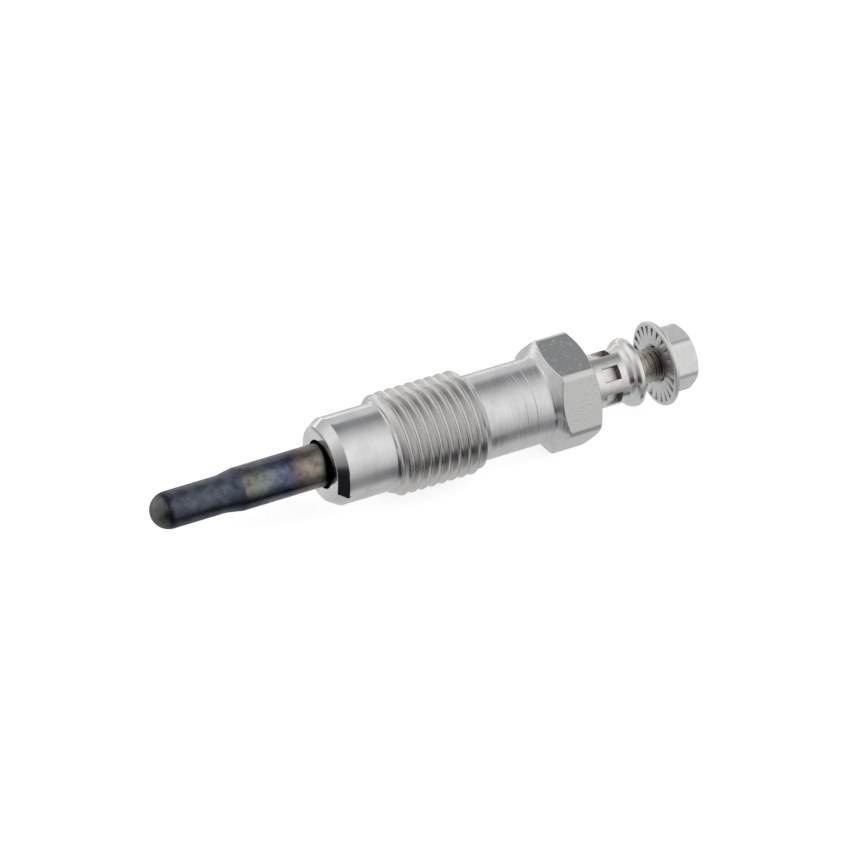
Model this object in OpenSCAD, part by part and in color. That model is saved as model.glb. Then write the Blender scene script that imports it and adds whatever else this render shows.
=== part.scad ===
/* [Glow tube] */
// Outside diameter of the tube where it leaves the nose
tube_d = 5; // [4.7:0.05:5.3]
// Outside diameter of the swaged-down tip
tip_d = 4.3; // [4:0.05:4.5]
// Wall of the tube
tube_wall = 0.55; // [0.45:0.05:0.65]
// Length of tube standing out of the nose
tube_reach = 20.9; // [18:0.1:26]
// Length of the thin tip, dome included
tip_len = 8.6; // [8:0.1:10]
// Length of the cone between the thick and the thin tube
swage_len = 2; // [1:0.1:3]
// Radius that blends the cone into the thin tip
swage_blend = 4; // [2:0.5:5]
// Length of tube gripped by the press bore
tube_hold = 10; // [6:0.5:12]
// Solid end of the welded tip
tip_wall = 1.6; // [1.3:0.1:2]

/* [Heater] */
// Mean diameter of both coils
coil_d = 2; // [1.8:0.05:2.1]
// Wire diameter of both coils
wire_d = 0.36; // [0.3:0.02:0.42]
// Length of the heating coil
heating_len = 7; // [5:0.5:8]
// Length of the regulating coil
regulating_len = 10; // [6:0.5:11]
// Turns of the heating coil
heating_turns = 7; // [5:1:8]
// Turns of the regulating coil
regulating_turns = 10; // [7:1:11]
// Gap left at each welded end of a coil
weld_gap = 0.1; // [0.05:0.01:0.2]
// Length of the rubber seal in the tube's open end
seal_len = 1.8; // [1:0.1:3]

/* [Body] */
// Diameter of the flat ring on the nose
nose_d = 8.7; // [7.5:0.1:9.5]
// Length of the conical gas seat
seat_len = 1.2; // [0.6:0.1:2]
// Diameter of the smooth pilot in front of the thread
pilot_d = 10.2; // [9.8:0.1:10.8]
// Nose face to the start of the thread
pilot_len = 7.2; // [5:0.1:12]
// Major diameter of the mounting thread
thread_d = 12; // [11.6:0.1:12.4]
// Length of the thread with its run-in and run-out
thread_len = 11.8; // [8:0.1:16]
// Pitch of the mounting thread
thread_pitch = 1.25; // [1:0.05:1.5]
// How far in front of the thread its groove starts
thread_lead = 0.34; // [0.2:0.02:0.6]
// Length of the run-in chamfer
run_in_len = 0.9; // [0.5:0.1:1.5]
// Length of the run-out chamfer
run_out_len = 1; // [0.5:0.1:1.5]
// Diameter of the shank behind the thread
shank_d = 10; // [9.4:0.1:10.6]
// Length of the shank
shank_len = 8.4; // [5:0.1:14]
// Radius in the corner between shank and hexagon
shank_fillet = 0.35; // [0.1:0.05:0.5]
// Hexagon across flats
hex_af = 12; // [11.6:0.1:12.4]
// Hexagon across its turned corners
hex_corner_d = 13.5; // [13:0.1:13.8]
// Length of the hexagon with both chamfers
hex_len = 5.6; // [4:0.1:9]
// Slope of the hexagon's chamfers from its end faces
hex_chamfer = 30; // [20:1:35]
// Flat diameter of the hexagon's rear face
hex_rear_d = 11.4; // [10.5:0.1:11.6]
// Diameter of the open mouth round the tube
mouth_d = 5.7; // [5.5:0.05:6.2]
// Depth of the open mouth
mouth_depth = 4; // [2:0.1:6]
// Diameter of the rear counterbore
socket_d = 5.8; // [5.6:0.05:6.2]
// Depth of the rear counterbore
socket_depth = 4; // [3:0.1:5]

/* [Terminal] */
// Major diameter of the terminal thread
stud_d = 4; // [3.8:0.05:4.2]
// Diameter of the pin inside the body
pin_d = 2.8; // [2.4:0.05:3]
// How far the pin's thick end starts in front of the counterbore
land_lead = 2; // [1:0.1:4]
// End chamfer of the stud
stud_chamfer = 0.4; // [0.2:0.05:0.6]
// How far the stud's end lies inside the flange nut
stud_inset = 0.3; // [0:0.1:1]
// Bare thread between the round nut and the flange nut
terminal_gap = 3.2; // [1:0.1:5]
// Diameter of the insulating washer's flange
washer_d = 7; // [6.6:0.1:7.4]
// Thickness of the insulating washer's flange
washer_t = 0.9; // [0.6:0.1:1.5]

/* [Round nut] */
// Diameter of the round nut's plain barrel
barrel_d = 6.4; // [6:0.1:6.8]
// Diameter of the rolled rim
rim_d = 8.1; // [7.4:0.1:8.6]
// Length of the round nut
round_nut_len = 5.95; // [5.5:0.05:7]
// Radius of the hollow flare between barrel and rim
flare_r = 1.6; // [1.2:0.1:2]
// Thickness of the rolled rim
rim_t = 1.1; // [0.9:0.05:1.3]
// Edge radius of the rolled rim
rim_round = 0.4; // [0.3:0.05:0.45]
// Number of crimp pockets
pocket_count = 6; // [4:1:6]
// Length of a crimp pocket
pocket_len = 2.05; // [1.4:0.05:2.2]
// Width of a crimp pocket
pocket_w = 1.7; // [1:0.1:1.9]
// Round nut's front face to the pockets
pocket_start = 1.2; // [0.6:0.1:1.3]
// Depth of a pocket at its shallow end
pocket_shallow = 0.22; // [0.18:0.02:0.35]
// Depth of a pocket at its deep end
pocket_deep = 0.75; // [0.5:0.05:0.8]
// Slope length of the pocket's end wall
pocket_wall = 0.2; // [0:0.05:0.4]
// Turn of the pockets about the axis
pocket_turn = 35; // [0:1:60]

/* [Flange nut] */
// Height of the flange nut
nut_h = 4; // [3.5:0.1:5]
// Flange nut across flats
nut_af = 7; // [6.6:0.1:7.2]
// Flange nut across its rounded corners
nut_corner_d = 7.8; // [7.5:0.05:8]
// Diameter of the flange
flange_d = 10; // [9.4:0.1:10.8]
// Thickness of the flange at its edge
flange_t = 0.55; // [0.5:0.05:0.8]
// Rise of the flange's sloping back
flange_rise = 0.45; // [0.2:0.05:0.6]
// Slope of the chamfer at the hexagon's end
nut_chamfer = 30; // [20:1:35]
// Flat diameter of the nut's end face
nut_end_d = 6.5; // [6:0.1:6.5]
// Radius of the flange's rounded edge
flange_round = 0.22; // [0.1:0.02:0.24]
// Number of slots between the locking teeth under the flange
tooth_count = 22; // [16:1:22]
// Width of a slot at its outer end
tooth_w = 0.6; // [0.3:0.05:0.8]
// Depth of a slot at its outer end
tooth_depth = 0.3; // [0.15:0.05:0.4]
// Inner diameter of the ring of teeth
tooth_inner_d = 6.6; // [6:0.1:7]
// Width of the plain rim outside the ring of teeth
tooth_rim = 0.5; // [0.4:0.05:0.7]
// Turn of the nut about the axis
nut_turn = 49; // [0:1:60]
// Chamfer at each mouth of the nut's hole
nut_countersink = 0.35; // [0.1:0.05:0.5]

/* [Fits] */
// Radial gap of a pressed or sealed fit
seat_gap = 0.02; // [0.01:0.005:0.04]
// Radial gap of a threaded or loose fit
loose_gap = 0.05; // [0.03:0.01:0.1]

/* [Hidden] */
$fn = 96;

// Stations along the axis, counted from the nose face towards the terminal
tip_x = -tube_reach;
swage_x = tip_x + tip_len;
tube_x = swage_x + swage_len;
tube_end_x = mouth_depth + tube_hold;
cavity_x = tip_x + tip_wall;
heating_x = cavity_x + weld_gap;
regulating_x = heating_x + heating_len + weld_gap;
pin_x = regulating_x + regulating_len + weld_gap;
seal_x = tube_end_x - seal_len;
thread_x = pilot_len;
shank_x = thread_x + thread_len;
hex_x = shank_x + shank_len;
rear_x = hex_x + hex_len;
socket_x = rear_x - socket_depth;
land_x = socket_x - land_lead;
round_nut_x = rear_x + washer_t;
round_nut_end_x = round_nut_x + round_nut_len;
flange_x = round_nut_end_x + terminal_gap;
nut_end_x = flange_x + nut_h;
stud_end_x = nut_end_x - stud_inset;

// The plug lies on a hexagon flat and the thread, with the middle of its length over the origin
lie_r = max(hex_af, thread_d, flange_d) / 2;
mid_x = (tip_x + nut_end_x) / 2;

tube_r = tube_d / 2;
tip_r = tip_d / 2;
stud_r = stud_d / 2;
pin_r = pin_d / 2;
bore_r = tube_r + seat_gap;
socket_r = socket_d / 2;
tube_bore_r = tube_r - tube_wall;
tip_bore_r = tip_r - tube_wall;
ring_d = socket_r - stud_r - 2 * seat_gap;
hex_slope = tan(hex_chamfer);
nut_slope = tan(nut_chamfer);
swage_angle = atan((tube_r - tip_r) / swage_len);
overrun = 1;
coil_sides = 6;
coil_steps = 12;
thread_steps = 30;

// Section of the thread's groove as radius and offset: metric depth and flanks, open past the crest
thread_root_r = thread_d / 2 - 0.613 * thread_pitch;
thread_open_r = thread_d / 2 + 0.06 * thread_pitch;
groove_root = 7 / 16 * thread_pitch - (thread_d / 2 - thread_root_r) * tan(30);
groove_open = groove_root + (thread_open_r - thread_root_r) * tan(30);
groove_section = [
    [thread_open_r, -groove_open],
    [thread_open_r, groove_open],
    [thread_root_r, groove_root],
    [thread_root_r, -groove_root]
];

module lie_down() {
    translate([-mid_x, 0, lie_r]) rotate([0, 90, 0]) children();
}

module turned(points) {
    rotate_extrude() polygon(points);
}

module bore(from_x, to_x, radius) {
    translate([0, 0, from_x]) cylinder(h = to_x - from_x, r = radius);
}

// A hexagonal prism with one flat turned down
module hexagon(from_x, to_x, across_flats) {
    translate([0, 0, from_x]) rotate([0, 0, 30])
        cylinder(h = to_x - from_x, r = across_flats / sqrt(3), $fn = 6);
}

// Points along the rounded start of the swaged cone
function swage_blend_points(steps = 4) = [
    for (i = [0 : steps])
        let (
            turn = swage_angle * i / steps,
            start = swage_x - swage_blend * tan(swage_angle / 2)
        )
        [tip_r + swage_blend * (1 - cos(turn)), start + swage_blend * sin(turn)]
];

// One ring of points round the wire of a coil
function wire_ring(step, from_x, length, turns, wire_r) =
    let (
        turn = 360 * step / coil_steps,
        middle_x = from_x + wire_d / 2 + (length - wire_d) * step / (turns * coil_steps)
    )
    [
        for (side = [0 : coil_sides - 1])
            let (
                around = 360 * side / coil_sides,
                radius = coil_d / 2 + wire_r * cos(around)
            )
            [radius * cos(turn), radius * sin(turn), middle_x + wire_r * sin(around)]
    ];

// One section of the thread's groove, turned and moved along its helix
function groove_ring(step) =
    let (
        turn = 360 * step / thread_steps,
        middle_x = thread_x - thread_lead + thread_pitch * step / thread_steps
    )
    [for (corner = groove_section) [corner[0] * cos(turn), corner[0] * sin(turn), middle_x + corner[1]]];

// A closed skin over a row of rings that all have the same number of sides
module skinned(rings, sides) {
    steps = len(rings) - 1;
    skin = [
        for (step = [0 : steps - 1])
            for (side = [0 : sides - 1])
                let (
                    next = (side + 1) % sides,
                    here = step * sides,
                    ahead = here + sides
                )
                each [
                    [here + side, here + next, ahead + side],
                    [here + next, ahead + next, ahead + side]
                ]
    ];
    first_end = [for (side = [sides - 1 : -1 : 0]) side];
    last_end = [for (side = [0 : sides - 1]) steps * sides + side];
    polyhedron(points = [for (ring = rings) each ring], faces = concat(skin, [first_end, last_end]));
}

module coil(from_x, length, turns, wire_r) {
    skinned([for (step = [0 : turns * coil_steps]) wire_ring(step, from_x, length, turns, wire_r)], coil_sides);
}

module thread_groove() {
    turns = (thread_len + 2 * thread_lead) / thread_pitch;
    skinned([for (step = [0 : ceil(turns * thread_steps)]) groove_ring(step)], len(groove_section));
}

module hex_with_chamfers() {
    corner_r = hex_corner_d / 2;
    front_r = shank_d / 2;
    front_len = (corner_r - front_r) * hex_slope;
    rear_len = (corner_r - hex_rear_d / 2) * hex_slope;
    intersection() {
        hexagon(hex_x, rear_x, hex_af);
        turned([
            [0, hex_x],
            [front_r, hex_x],
            [corner_r, hex_x + front_len],
            [corner_r, rear_x - rear_len],
            [hex_rear_d / 2, rear_x],
            [0, rear_x]
        ]);
    }
}

// The radius in the corner, tangent to the shank and to the front chamfer
module shank_corner() {
    shank_r = shank_d / 2;
    reach = shank_fillet * tan((90 - hex_chamfer) / 2);
    chamfer_r = shank_r + reach * cos(hex_chamfer);
    chamfer_x = hex_x + reach * sin(hex_chamfer);
    rotate_extrude() difference() {
        polygon([
            [0, hex_x - reach],
            [shank_r, hex_x - reach],
            [chamfer_r, chamfer_x],
            [0, chamfer_x]
        ]);
        translate([shank_r + shank_fillet, hex_x - reach]) circle(r = shank_fillet);
    }
}

module body_outside() {
    thread_r = thread_d / 2;
    turned([
        [0, 0],
        [nose_d / 2, 0],
        [pilot_d / 2, seat_len],
        [pilot_d / 2, thread_x],
        [thread_r, thread_x + run_in_len],
        [thread_r, shank_x - run_out_len],
        [shank_d / 2, shank_x],
        [shank_d / 2, hex_x + hex_len / 2],
        [0, hex_x + hex_len / 2]
    ]);
    hex_with_chamfers();
    shank_corner();
}

module body_shell() {
    color("silver") lie_down() difference() {
        body_outside();
        thread_groove();
        bore(-overrun, mouth_depth, mouth_d / 2);
        bore(mouth_depth - overrun, socket_x + overrun, bore_r);
        bore(socket_x, rear_x + overrun, socket_r);
    }
}

module glow_tube() {
    color("dimgray") lie_down() difference() {
        union() {
            translate([0, 0, tip_x + tip_r]) sphere(r = tip_r);
            turned(concat(
                [[0, tip_x + tip_r], [tip_r, tip_x + tip_r]],
                swage_blend_points(),
                [[tube_r, tube_x], [tube_r, tube_end_x], [0, tube_end_x]]
            ));
        }
        turned([
            [0, cavity_x],
            [tip_bore_r, cavity_x],
            [tip_bore_r, swage_x],
            [tube_bore_r, tube_x],
            [tube_bore_r, tube_end_x + overrun],
            [0, tube_end_x + overrun]
        ]);
    }
}

module heating_coil() {
    color("goldenrod") lie_down() coil(heating_x, heating_len, heating_turns, wire_d / 2);
}

module regulating_coil() {
    color("darkkhaki") lie_down() coil(regulating_x, regulating_len, regulating_turns, wire_d / 2);
}

module insulating_powder() {
    color("white") lie_down() difference() {
        turned([
            [0, cavity_x + seat_gap],
            [tip_bore_r - seat_gap, cavity_x + seat_gap],
            [tip_bore_r - seat_gap, swage_x],
            [tube_bore_r - seat_gap, tube_x],
            [tube_bore_r - seat_gap, seal_x - seat_gap],
            [0, seal_x - seat_gap]
        ]);
        bore(pin_x - seat_gap, seal_x + overrun, pin_r + seat_gap);
        coil(heating_x, heating_len, heating_turns, wire_d / 2 + seat_gap);
        coil(regulating_x, regulating_len, regulating_turns, wire_d / 2 + seat_gap);
    }
}

module tube_seal() {
    color("black") lie_down() difference() {
        bore(seal_x, tube_end_x, tube_bore_r - seat_gap);
        bore(seal_x - overrun, tube_end_x + overrun, pin_r + seat_gap);
    }
}

module terminal_stud() {
    color("gray") lie_down() turned([
        [0, pin_x],
        [pin_r, pin_x],
        [pin_r, land_x],
        [stud_r, land_x + stud_r - pin_r],
        [stud_r, stud_end_x - stud_chamfer],
        [stud_r - stud_chamfer, stud_end_x],
        [0, stud_end_x]
    ]);
}

module body_o_ring() {
    color("black") lie_down() rotate_extrude()
        translate([(socket_r + stud_r) / 2, socket_x + seat_gap + ring_d / 2]) circle(d = ring_d);
}

module insulating_washer() {
    spigot_x = socket_x + ring_d + 2 * seat_gap;
    color("saddlebrown") lie_down() difference() {
        union() {
            bore(spigot_x, round_nut_x, socket_r - loose_gap);
            bore(rear_x, round_nut_x, washer_d / 2);
        }
        bore(spigot_x - overrun, round_nut_x + overrun, stud_r + loose_gap);
    }
}

module crimp_pocket() {
    barrel_r = barrel_d / 2;
    start = round_nut_x + pocket_start;
    end = start + pocket_len;
    rotate([90, 0, 0]) linear_extrude(height = pocket_w, center = true) polygon([
        [rim_d, start],
        [barrel_r - pocket_shallow, start],
        [barrel_r - pocket_deep, end - pocket_wall],
        [barrel_r, end],
        [rim_d, end]
    ]);
}

// Half section of the round nut: barrel, hollow flare and rolled rim
module round_nut_section() {
    barrel_r = barrel_d / 2;
    rim_core_r = rim_d / 2 - rim_round;
    rim_front_x = round_nut_end_x - rim_t + rim_round;
    rim_back_x = round_nut_end_x - rim_round;
    flare_centre_r = barrel_r + flare_r;
    flare_x = rim_front_x - sqrt(pow(flare_r + rim_round, 2) - pow(flare_centre_r - rim_core_r, 2));
    meet = rim_round / (flare_r + rim_round);
    translate([0, round_nut_x]) square([barrel_r, round_nut_len]);
    difference() {
        polygon([
            [0, flare_x],
            [barrel_r, flare_x],
            [rim_core_r + meet * (flare_centre_r - rim_core_r), rim_front_x + meet * (flare_x - rim_front_x)],
            [rim_core_r, rim_front_x],
            [0, rim_front_x]
        ]);
        translate([flare_centre_r, flare_x]) circle(r = flare_r);
    }
    translate([0, rim_front_x]) square([rim_d / 2, rim_back_x - rim_front_x]);
    translate([0, rim_back_x]) square([rim_core_r, rim_round]);
    for (edge_x = [rim_front_x, rim_back_x])
        translate([rim_core_r, edge_x]) circle(r = rim_round);
}

module round_nut() {
    color("gainsboro") lie_down() difference() {
        rotate_extrude() round_nut_section();
        bore(round_nut_x - overrun, round_nut_end_x + overrun, stud_r + loose_gap);
        for (i = [0 : pocket_count - 1])
            rotate([0, 0, pocket_turn + i * 360 / pocket_count]) crimp_pocket();
    }
}

// Half section of the flange: flat underside, rounded edge and sloping back
module flange_section() {
    corner_r = nut_corner_d / 2;
    flange_r = flange_d / 2;
    core_r = flange_r - flange_round;
    back_slope = atan(flange_rise / (flange_r - corner_r));
    back_reach = flange_round / tan((90 + back_slope) / 2);
    edge_x = flange_x + flange_t - back_reach;
    polygon([
        [0, flange_x],
        [core_r, flange_x],
        [flange_r, flange_x + flange_round],
        [flange_r, edge_x],
        [flange_r - back_reach * cos(back_slope), flange_x + flange_t + back_reach * sin(back_slope)],
        [corner_r, flange_x + flange_t + flange_rise],
        [0, flange_x + flange_t + flange_rise]
    ]);
    for (round_x = [flange_x + flange_round, edge_x])
        translate([core_r, round_x]) circle(r = flange_round);
}

module nut_outside() {
    corner_r = nut_corner_d / 2;
    chamfer_len = (corner_r - nut_end_d / 2) * nut_slope;
    rotate_extrude() flange_section();
    intersection() {
        rotate([0, 0, nut_turn]) hexagon(flange_x, nut_end_x, nut_af);
        turned([
            [0, flange_x],
            [corner_r, flange_x],
            [corner_r, nut_end_x - chamfer_len],
            [nut_end_d / 2, nut_end_x],
            [0, nut_end_x]
        ]);
    }
}

// Slots between the locking teeth, widest and deepest where they stop at the plain rim
module locking_slots() {
    inner_r = tooth_inner_d / 2;
    outer_r = flange_d / 2 - tooth_rim;
    run = outer_r - inner_r;
    intersection() {
        bore(flange_x - overrun, flange_x + flange_t, outer_r);
        for (i = [0 : tooth_count - 1])
            rotate([0, 0, (i + 0.5) * 360 / tooth_count]) translate([inner_r, 0, flange_x])
                rotate([0, -atan(tooth_depth / run), 0]) rotate([90, 0, 90])
                    linear_extrude(height = run + overrun) polygon([
                        [0, 0],
                        [tooth_w, -tooth_depth],
                        [tooth_w, -2 * tooth_depth],
                        [0, -2 * tooth_depth]
                    ]);
    }
}

module flange_nut() {
    hole_r = stud_r + loose_gap;
    color("whitesmoke") lie_down() difference() {
        nut_outside();
        bore(flange_x - overrun, nut_end_x + overrun, hole_r);
        turned([
            [0, flange_x],
            [hole_r + nut_countersink, flange_x],
            [hole_r, flange_x + nut_countersink],
            [0, flange_x + nut_countersink]
        ]);
        turned([
            [0, nut_end_x - nut_countersink],
            [hole_r, nut_end_x - nut_countersink],
            [hole_r + nut_countersink, nut_end_x],
            [0, nut_end_x]
        ]);
        locking_slots();
    }
}

body_shell();
glow_tube();
heating_coil();
regulating_coil();
insulating_powder();
tube_seal();
terminal_stud();
body_o_ring();
insulating_washer();
round_nut();
flange_nut();
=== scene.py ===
import bpy
import bmesh
import math
import random
from mathutils import Matrix, Vector


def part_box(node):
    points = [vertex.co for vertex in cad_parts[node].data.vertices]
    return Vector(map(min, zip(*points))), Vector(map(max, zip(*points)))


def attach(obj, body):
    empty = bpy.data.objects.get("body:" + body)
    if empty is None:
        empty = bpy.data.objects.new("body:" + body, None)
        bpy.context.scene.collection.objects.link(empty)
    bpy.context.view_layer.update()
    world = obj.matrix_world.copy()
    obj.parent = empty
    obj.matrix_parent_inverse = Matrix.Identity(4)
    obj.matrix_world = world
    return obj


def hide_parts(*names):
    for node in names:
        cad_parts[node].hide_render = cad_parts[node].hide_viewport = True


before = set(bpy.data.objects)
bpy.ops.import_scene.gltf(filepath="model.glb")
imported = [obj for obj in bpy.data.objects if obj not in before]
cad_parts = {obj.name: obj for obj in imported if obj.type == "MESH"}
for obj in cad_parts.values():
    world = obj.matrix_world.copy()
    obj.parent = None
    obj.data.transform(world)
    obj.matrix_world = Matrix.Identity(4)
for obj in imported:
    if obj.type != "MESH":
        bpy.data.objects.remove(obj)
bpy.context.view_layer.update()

# Pieces are drawn in millimetres along the axis from the nose face, and toRow takes them into the frame
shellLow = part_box("body_shell")[0]
barrelLow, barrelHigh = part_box("round_nut")
axisHeight = (barrelLow.z + barrelHigh.z) / 2
mm = 0.001
toRow = Matrix.Translation((shellLow.x, 0, axisHeight)) @ Matrix.Scale(mm, 4)
fullTurn = 2 * math.pi
upright = math.pi / 2  # angles go from +Y towards +Z, so this is the top
print("frame loaded, nose face at", round(shellLow.x / mm, 3), "mm")


def hexColour(code):
    parts = [int(code[i:i + 2], 16) / 255 for i in (1, 3, 5)]
    return [c / 12.92 if c <= 0.04045 else ((c + 0.055) / 1.055) ** 2.4 for c in parts] + [1.0]


def join(tree, node, links):
    # a node in place of an output stands for its first output
    for key, source in links.items():
        tree.links.new(source.outputs[0] if isinstance(source, bpy.types.Node) else source, node.inputs[key])


def addNode(tree, kind, links=None, values=None, stops=None, **settings):
    node = tree.nodes.new("ShaderNode" + kind)
    for key, value in settings.items():
        setattr(node, key, value)
    for key, value in (values or {}).items():
        node.inputs[key].default_value = value
    join(tree, node, links or {})
    if stops:
        ramp = node.color_ramp.elements
        while len(ramp) < len(stops):
            ramp.new(1.0)
        for element, (place, colour) in zip(ramp, stops):
            element.position = place
            element.color = hexColour(colour)
    return node


def blankMaterial(name):
    material = bpy.data.materials.new(name)
    material.use_nodes = True
    material.node_tree.nodes.clear()
    return material, material.node_tree


def startMaterial(name, **values):
    material, tree = blankMaterial(name)
    shader = addNode(tree, "BsdfPrincipled", values=values)
    addNode(tree, "OutputMaterial", links={"Surface": shader})
    where = addNode(tree, "TexCoord").outputs["Object"]
    return material, tree, shader, where


def mottledMaterial(name, finish, **values):
    # two tones in soft patches of a given size
    material, tree, shader, where = startMaterial(name, **values)
    patches = addNode(tree, "TexNoise", links={"Vector": where},
                      values={"Scale": 1 / (finish["patchMm"] * mm), "Detail": finish.get("detail", 3.0)})
    tint = addNode(tree, "ValToRGB", links={"Fac": patches}, stops=[(0.3, finish["dark"]), (0.7, finish["light"])])
    join(tree, shader, {"Base Color": tint})
    if "deepMm" in finish:
        surface = addNode(tree, "Bump", links={"Height": patches},
                          values={"Strength": 1.0, "Distance": finish["deepMm"] * mm})
        join(tree, shader, {"Normal": surface})
    return material


def zincMaterial(name, plate):
    # cloudy plate, shinier where it is lighter
    material, tree, shader, where = startMaterial(name, Metallic=1.0)
    clouds = addNode(tree, "TexNoise", links={"Vector": where},
                     values={"Scale": 1 / (plate["cloudMm"] * mm), "Detail": 4.0, "Roughness": 0.6})
    tint = addNode(tree, "ValToRGB", links={"Fac": clouds}, stops=[(0.35, plate["dark"]), (0.65, plate["light"])])
    gloss = addNode(tree, "MapRange", links={"Value": clouds},
                    values={"From Min": 0.3, "From Max": 0.7, "To Min": plate["dull"], "To Max": plate["smooth"]})
    surface = addNode(tree, "Bump", links={"Height": clouds},
                      values={"Strength": 1.0, "Distance": plate["deepMm"] * mm})
    join(tree, shader, {"Base Color": tint, "Roughness": gloss, "Normal": surface})
    return material


# Nickel plate on turned steel: neutral grey mirror, broken up by fine rings from the lathe
# (the rings are drawn a little coarse and deep, so that they show at this size)
turnedNickel = {"light": "#e0e0e0", "dark": "#d4d4d5", "feedMm": 0.22, "cloudMm": 2.5, "smooth": 0.15, "dull": 0.27,
                "ringMm": 0.05, "seatEndMm": 1.2, "shankMm": 19, "seatCut": 0.1, "seatGloss": 0.4}
nickelTurned, tree, shader, where = startMaterial("nickelPlatedTurnedSteel", Metallic=1.0)
feed = 1 / (turnedNickel["feedMm"] * mm)
rings = addNode(tree, "Mapping", links={"Vector": where}, values={"Scale": (feed, 70, 70)})
ringLines = addNode(tree, "TexNoise", links={"Vector": rings}, values={"Scale": 1.0, "Detail": 3.0, "Roughness": 0.65})
clouds = addNode(tree, "TexNoise", links={"Vector": where},
                 values={"Scale": 1 / (turnedNickel["cloudMm"] * mm), "Detail": 3.0})
tint = addNode(tree, "ValToRGB", links={"Fac": clouds},
               stops=[(0.35, turnedNickel["dark"]), (0.65, turnedNickel["light"])])
gloss = addNode(tree, "MapRange", links={"Value": ringLines},
                values={"From Min": 0.3, "From Max": 0.7, "To Min": turnedNickel["smooth"],
                        "To Max": turnedNickel["dull"]})
axes = addNode(tree, "SeparateXYZ", links={"Vector": where})
# the seat is cut finest and the shank coarsest
beyondSeat = addNode(tree, "MapRange", links={"Value": axes.outputs["X"]},
                     values={"From Min": shellLow.x + turnedNickel["seatEndMm"] * mm, "To Min": turnedNickel["seatCut"],
                             "From Max": shellLow.x + turnedNickel["shankMm"] * mm, "To Max": 1.0})
lathe = addNode(tree, "Bump", links={"Height": ringLines, "Strength": beyondSeat},
                values={"Distance": turnedNickel["ringMm"] * mm})
seatGloss = addNode(tree, "MapRange", links={"Value": beyondSeat},
                    values={"From Min": turnedNickel["seatCut"], "From Max": turnedNickel["seatCut"] * 2,
                            "To Min": turnedNickel["seatGloss"], "To Max": 1.0})
dullness = addNode(tree, "Math", links={0: gloss, 1: seatGloss}, operation="MULTIPLY")
join(tree, shader, {"Base Color": tint, "Roughness": dullness, "Normal": lathe})

# The same plate over a rolled thread: duller, with faint streaks along the groove
rolledNickel = {"light": "#e2e1df", "dark": "#cfcdcb", "streakMm": 0.09, "deepMm": 0.003, "smooth": 0.21, "dull": 0.31}
nickelThread, tree, shader, where = startMaterial("nickelPlatedRolledThread", Metallic=1.0)
streak = 1 / (rolledNickel["streakMm"] * mm)
along = addNode(tree, "Mapping", links={"Vector": where}, values={"Scale": (streak, 500, 500)})
streaks = addNode(tree, "TexNoise", links={"Vector": along}, values={"Scale": 1.0, "Detail": 3.0, "Roughness": 0.6})
tint = addNode(tree, "ValToRGB", links={"Fac": streaks},
               stops=[(0.32, rolledNickel["dark"]), (0.68, rolledNickel["light"])])
gloss = addNode(tree, "MapRange", links={"Value": streaks},
                values={"From Min": 0.3, "From Max": 0.7, "To Min": rolledNickel["smooth"],
                        "To Max": rolledNickel["dull"]})
lathe = addNode(tree, "Bump", links={"Height": streaks},
                values={"Strength": 1.0, "Distance": rolledNickel["deepMm"] * mm})
join(tree, shader, {"Base Color": tint, "Roughness": gloss, "Normal": lathe})

# Nickel over drawn hexagon bar: satin flats with tiny pits that sparkle
drawnNickel = {"light": "#d8d8d6", "dark": "#cfcfcd", "grainMm": 0.12, "pitMm": 0.4, "pitWide": 0.26, "pitDeep": 26.0,
               "drawnOut": 0.55, "grainDeepMm": 0.0009, "smooth": 0.2, "dull": 0.32}
nickelHex, tree, shader, where = startMaterial("nickelPlatedDrawnBar", Metallic=1.0)
grain = addNode(tree, "TexNoise", links={"Vector": where},
                values={"Scale": 1 / (drawnNickel["grainMm"] * mm), "Detail": 4.0, "Roughness": 0.6})
drawn = addNode(tree, "Mapping", links={"Vector": where}, values={"Scale": (drawnNickel["drawnOut"], 1, 1)})
pits = addNode(tree, "TexVoronoi", links={"Vector": drawn},
               values={"Scale": 1 / (drawnNickel["pitMm"] * mm), "Randomness": 1.0})
pitDepth = addNode(tree, "MapRange", links={"Value": pits},
                   values={"From Min": 0.0, "From Max": drawnNickel["pitWide"], "To Min": -drawnNickel["pitDeep"],
                           "To Max": 0.0})
relief = addNode(tree, "Math", links={0: grain, 1: pitDepth}, operation="ADD")
tint = addNode(tree, "ValToRGB", links={"Fac": grain}, stops=[(0.3, drawnNickel["dark"]), (0.7, drawnNickel["light"])])
gloss = addNode(tree, "MapRange", links={"Value": grain},
                values={"From Min": 0.3, "From Max": 0.7, "To Min": drawnNickel["smooth"],
                        "To Max": drawnNickel["dull"]})
surface = addNode(tree, "Bump", links={"Height": relief},
                  values={"Strength": 1.0, "Distance": drawnNickel["grainDeepMm"] * mm})
join(tree, shader, {"Base Color": tint, "Roughness": gloss, "Normal": surface})

# Bare steel inside the nose and the socket: black with soot, and drawn near black as painted shade in the gap round the
# tube
sootAndShade = {"patchMm": 0.4, "dark": "#101011", "light": "#26262a"}
sootyShadedSteel = mottledMaterial("sootyShadedBoreSteel", sootAndShade, Metallic=0.6, Roughness=0.6)
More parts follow.
